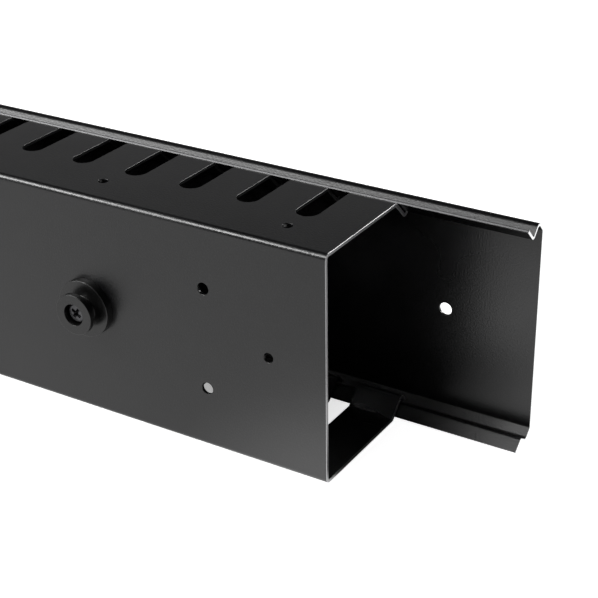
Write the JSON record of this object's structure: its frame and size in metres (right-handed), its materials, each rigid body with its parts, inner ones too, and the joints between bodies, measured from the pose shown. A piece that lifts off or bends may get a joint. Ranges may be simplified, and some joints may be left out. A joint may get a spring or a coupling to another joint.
{
  "type": "vertical cable manager",
  "caption": "Slotted black steel duct with a slide-on snap cover and round mounting buttons, for routing cables beside a server rack.",
  "frame": {"origin": "middle of the duct's back face", "axes": "+X along the duct to the end that the cover is slid out of, +Y from the back face to the cover, +Z across the width; it lies on its lower flange as in the picture"},
  "size_m": [0.5752, 0.066, 0.0804],
  "materials": {
    "duct_steel": "satin black powder coat",
    "cover_steel": "satin black powder coat",
    "button_steel": "matt black",
    "screw_steel": "black oxide",
    "zinc_steel": "bright zinc plate"
  },
  "bodies": {
    "duct": {"duct": "duct_steel", "mounting_button_near": "button_steel", "button_screw_near": "screw_steel", "lock_washer_near": "zinc_steel", "hex_nut_near": "zinc_steel", "mounting_button_far": "button_steel", "button_screw_far": "screw_steel", "lock_washer_far": "zinc_steel", "hex_nut_far": "zinc_steel"},
    "cover": {"cover": "cover_steel"}
  },
  "joints": [
    {"name": "cover_slide", "type": "slide", "parent": "duct", "child": "cover", "axis": [1, 0, 0], "range_m": [-0.0442, 0.4868]}
  ]
}
